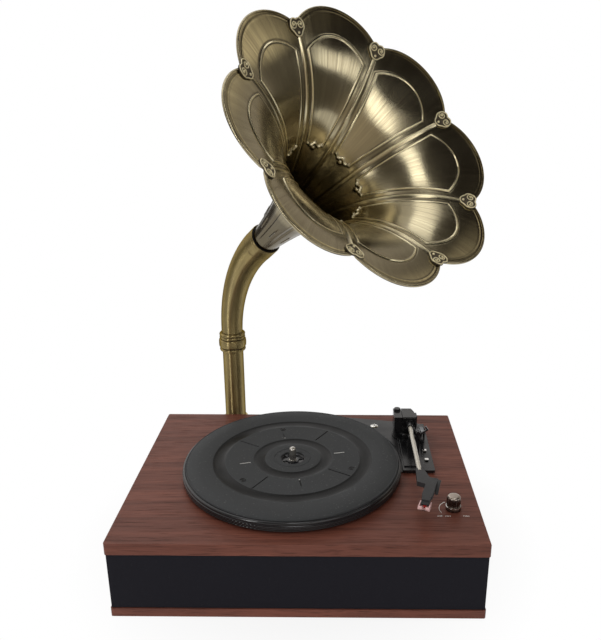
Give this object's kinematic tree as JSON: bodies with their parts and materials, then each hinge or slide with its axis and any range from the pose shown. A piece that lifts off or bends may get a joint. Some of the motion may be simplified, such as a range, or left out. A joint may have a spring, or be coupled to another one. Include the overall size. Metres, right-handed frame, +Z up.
{
  "type": "gramophone-style speaker",
  "caption": "Record player in a low walnut cabinet with loudspeakers behind cloth and a large petal horn on a bent brass pipe behind it.",
  "frame": {"origin": "middle of the whole object's box, on the surface it stands on", "axes": "+Z up, -Y towards the cabinet's front, +X to the right seen from the front"},
  "size_m": [0.3584, 0.301, 0.5473],
  "materials": {
    "walnut": "dark walnut veneer, satin",
    "black_board": "black painted board, matte",
    "grille_cloth": "fine dark woven cloth",
    "foot_rubber": "matte",
    "zinc_screws": "zinc plated",
    "driver_steel": "dark grey, satin",
    "cone_paper": "black paper cone",
    "deck_black": "black, satin",
    "chrome": "polished",
    "bearing_brass": "turned",
    "platter_black": "black with a ribbed band under a rounded lip",
    "mat_rubber": "dark grey, matte",
    "belt_rubber": "matte",
    "arm_black": "black, semi gloss",
    "shaft_steel": "ground",
    "tube_cream": "satin, pale cream",
    "shell_black": "dark grey, satin",
    "stylus_red": "dark red",
    "guard_pink": "pinkish white",
    "knob_black": "black, ribbed",
    "cap_metal": "brownish silver",
    "board_green": "circuit board",
    "board_parts": "component grey",
    "jack_metal": "dark plated",
    "horn_brass": "antique brass, brushed, greenish",
    "dark_brass": "darkened antique brass",
    "brass_screws": "antique brass"
  },
  "bodies": {
    "base": {"top_board": "walnut", "bottom_board": "walnut", "left_side": "walnut", "right_side": "walnut", "rear_panel": "black_board", "front_baffle": "black_board", "grille_frame": "black_board", "grille_cloth": "grille_cloth", "feet": "foot_rubber", "foot_screws": "zinc_screws", "left_speaker": "driver_steel", "right_speaker": "driver_steel", "left_cone": "cone_paper", "right_cone": "cone_paper", "deck_plate": "deck_black", "deck_screws": "chrome", "spindle": "chrome", "hub_washer": "bearing_brass", "motor": "driver_steel", "belt": "belt_rubber", "tonearm_plate": "arm_black", "pivot_turret": "arm_black", "pivot_post": "shaft_steel", "arm_rest": "arm_black", "volume_control": "driver_steel", "amplifier_board": "board_green", "amplifier_parts": "board_parts", "jack_plate": "knob_black", "jacks": "jack_metal", "horn_driver": "driver_steel", "horn_flange": "horn_brass", "flange_screws": "brass_screws", "horn_pipe": "horn_brass", "pipe_collar": "dark_brass"},
    "platter": {"platter": "platter_black", "mat": "mat_rubber"},
    "rotor": {"motor_pulley": "bearing_brass"},
    "arm_carrier": {"arm_yoke": "arm_black", "tilt_pin": "shaft_steel"},
    "arm": {"arm_block": "arm_black", "counterweight": "chrome", "arm_tube": "tube_cream", "headshell": "shell_black", "finger_lift": "shell_black", "cartridge": "shell_black", "stylus": "stylus_red"},
    "guard": {"stylus_guard": "guard_pink"},
    "clip": {"arm_clip": "arm_black"},
    "cue_lever": {"cue_lever": "arm_black"},
    "cue_bar": {"cue_bar": "arm_black"},
    "speed_slider": {"speed_switch": "arm_black"},
    "stop_slider": {"stop_switch": "arm_black"},
    "volume": {"volume_knob": "knob_black", "knob_cap": "cap_metal", "control_shaft": "shaft_steel"},
    "horn": {"horn_elbow": "horn_brass", "elbow_socket": "horn_brass", "horn_gasket": "belt_rubber", "horn_bell": "horn_brass", "medallions": "dark_brass"}
  },
  "joints": [
    {"name": "platter_spin", "type": "hinge", "parent": "base", "child": "platter", "pos_m": [-0.01562, -0.01577, 0.0988], "axis": [0, 0, 1], "continuous": true},
    {"name": "motor_spin", "type": "hinge", "parent": "base", "child": "rotor", "pos_m": [-0.07997, 0.04858, 0.085], "axis": [0, 0, 1], "continuous": true},
    {"name": "arm_swing", "type": "hinge", "parent": "base", "child": "arm_carrier", "pos_m": [0.11468, 0.06003, 0.109], "axis": [0, 0, -1], "range_deg": [-1.5, 42]},
    {"name": "arm_lift", "type": "hinge", "parent": "arm_carrier", "child": "arm", "pos_m": [0.11468, 0.06003, 0.109], "axis": [-1, 0, 0], "range_deg": [-0.8, 15]},
    {"name": "clip_turn", "type": "hinge", "parent": "base", "child": "clip", "pos_m": [0.12168, 0.02203, 0.1109], "axis": [0, -1, 0], "range_deg": [0, 145]},
    {"name": "cue_turn", "type": "hinge", "parent": "base", "child": "cue_lever", "pos_m": [0.12968, 0.05203, 0.0975], "axis": [-1, 0, 0], "range_deg": [0, 40]},
    {"name": "cue_raise", "type": "slide", "parent": "base", "child": "cue_bar", "axis": [0, 0, 1], "range_m": [0, 0.004]},
    {"name": "speed_slide", "type": "slide", "parent": "base", "child": "speed_slider", "axis": [0, 1, 0], "range_m": [-0.002, 0.002]},
    {"name": "stop_slide", "type": "slide", "parent": "base", "child": "stop_slider", "axis": [0, 1, 0], "range_m": [-0.002, 0.002]},
    {"name": "volume_turn", "type": "hinge", "parent": "base", "child": "volume", "pos_m": [0.14498, -0.08937, 0.085], "axis": [0, 0, -1], "range_deg": [0, 300]},
    {"name": "horn_swivel", "type": "hinge", "parent": "base", "child": "horn", "pos_m": [-0.09802, 0.13403, 0.189], "axis": [0, 0, 1], "continuous": true},
    {"name": "guard_pull", "type": "slide", "parent": "arm", "child": "guard", "axis": [-0.3206, -0.9472, 0], "range_m": [0, 0.016]}
  ],
  "couplings": [
    {"joint": "motor_spin", "follows": "platter_spin", "ratio": 20},
    {"joint": "cue_turn", "follows": "cue_raise", "rad_per_m": 174.53}
  ]
}
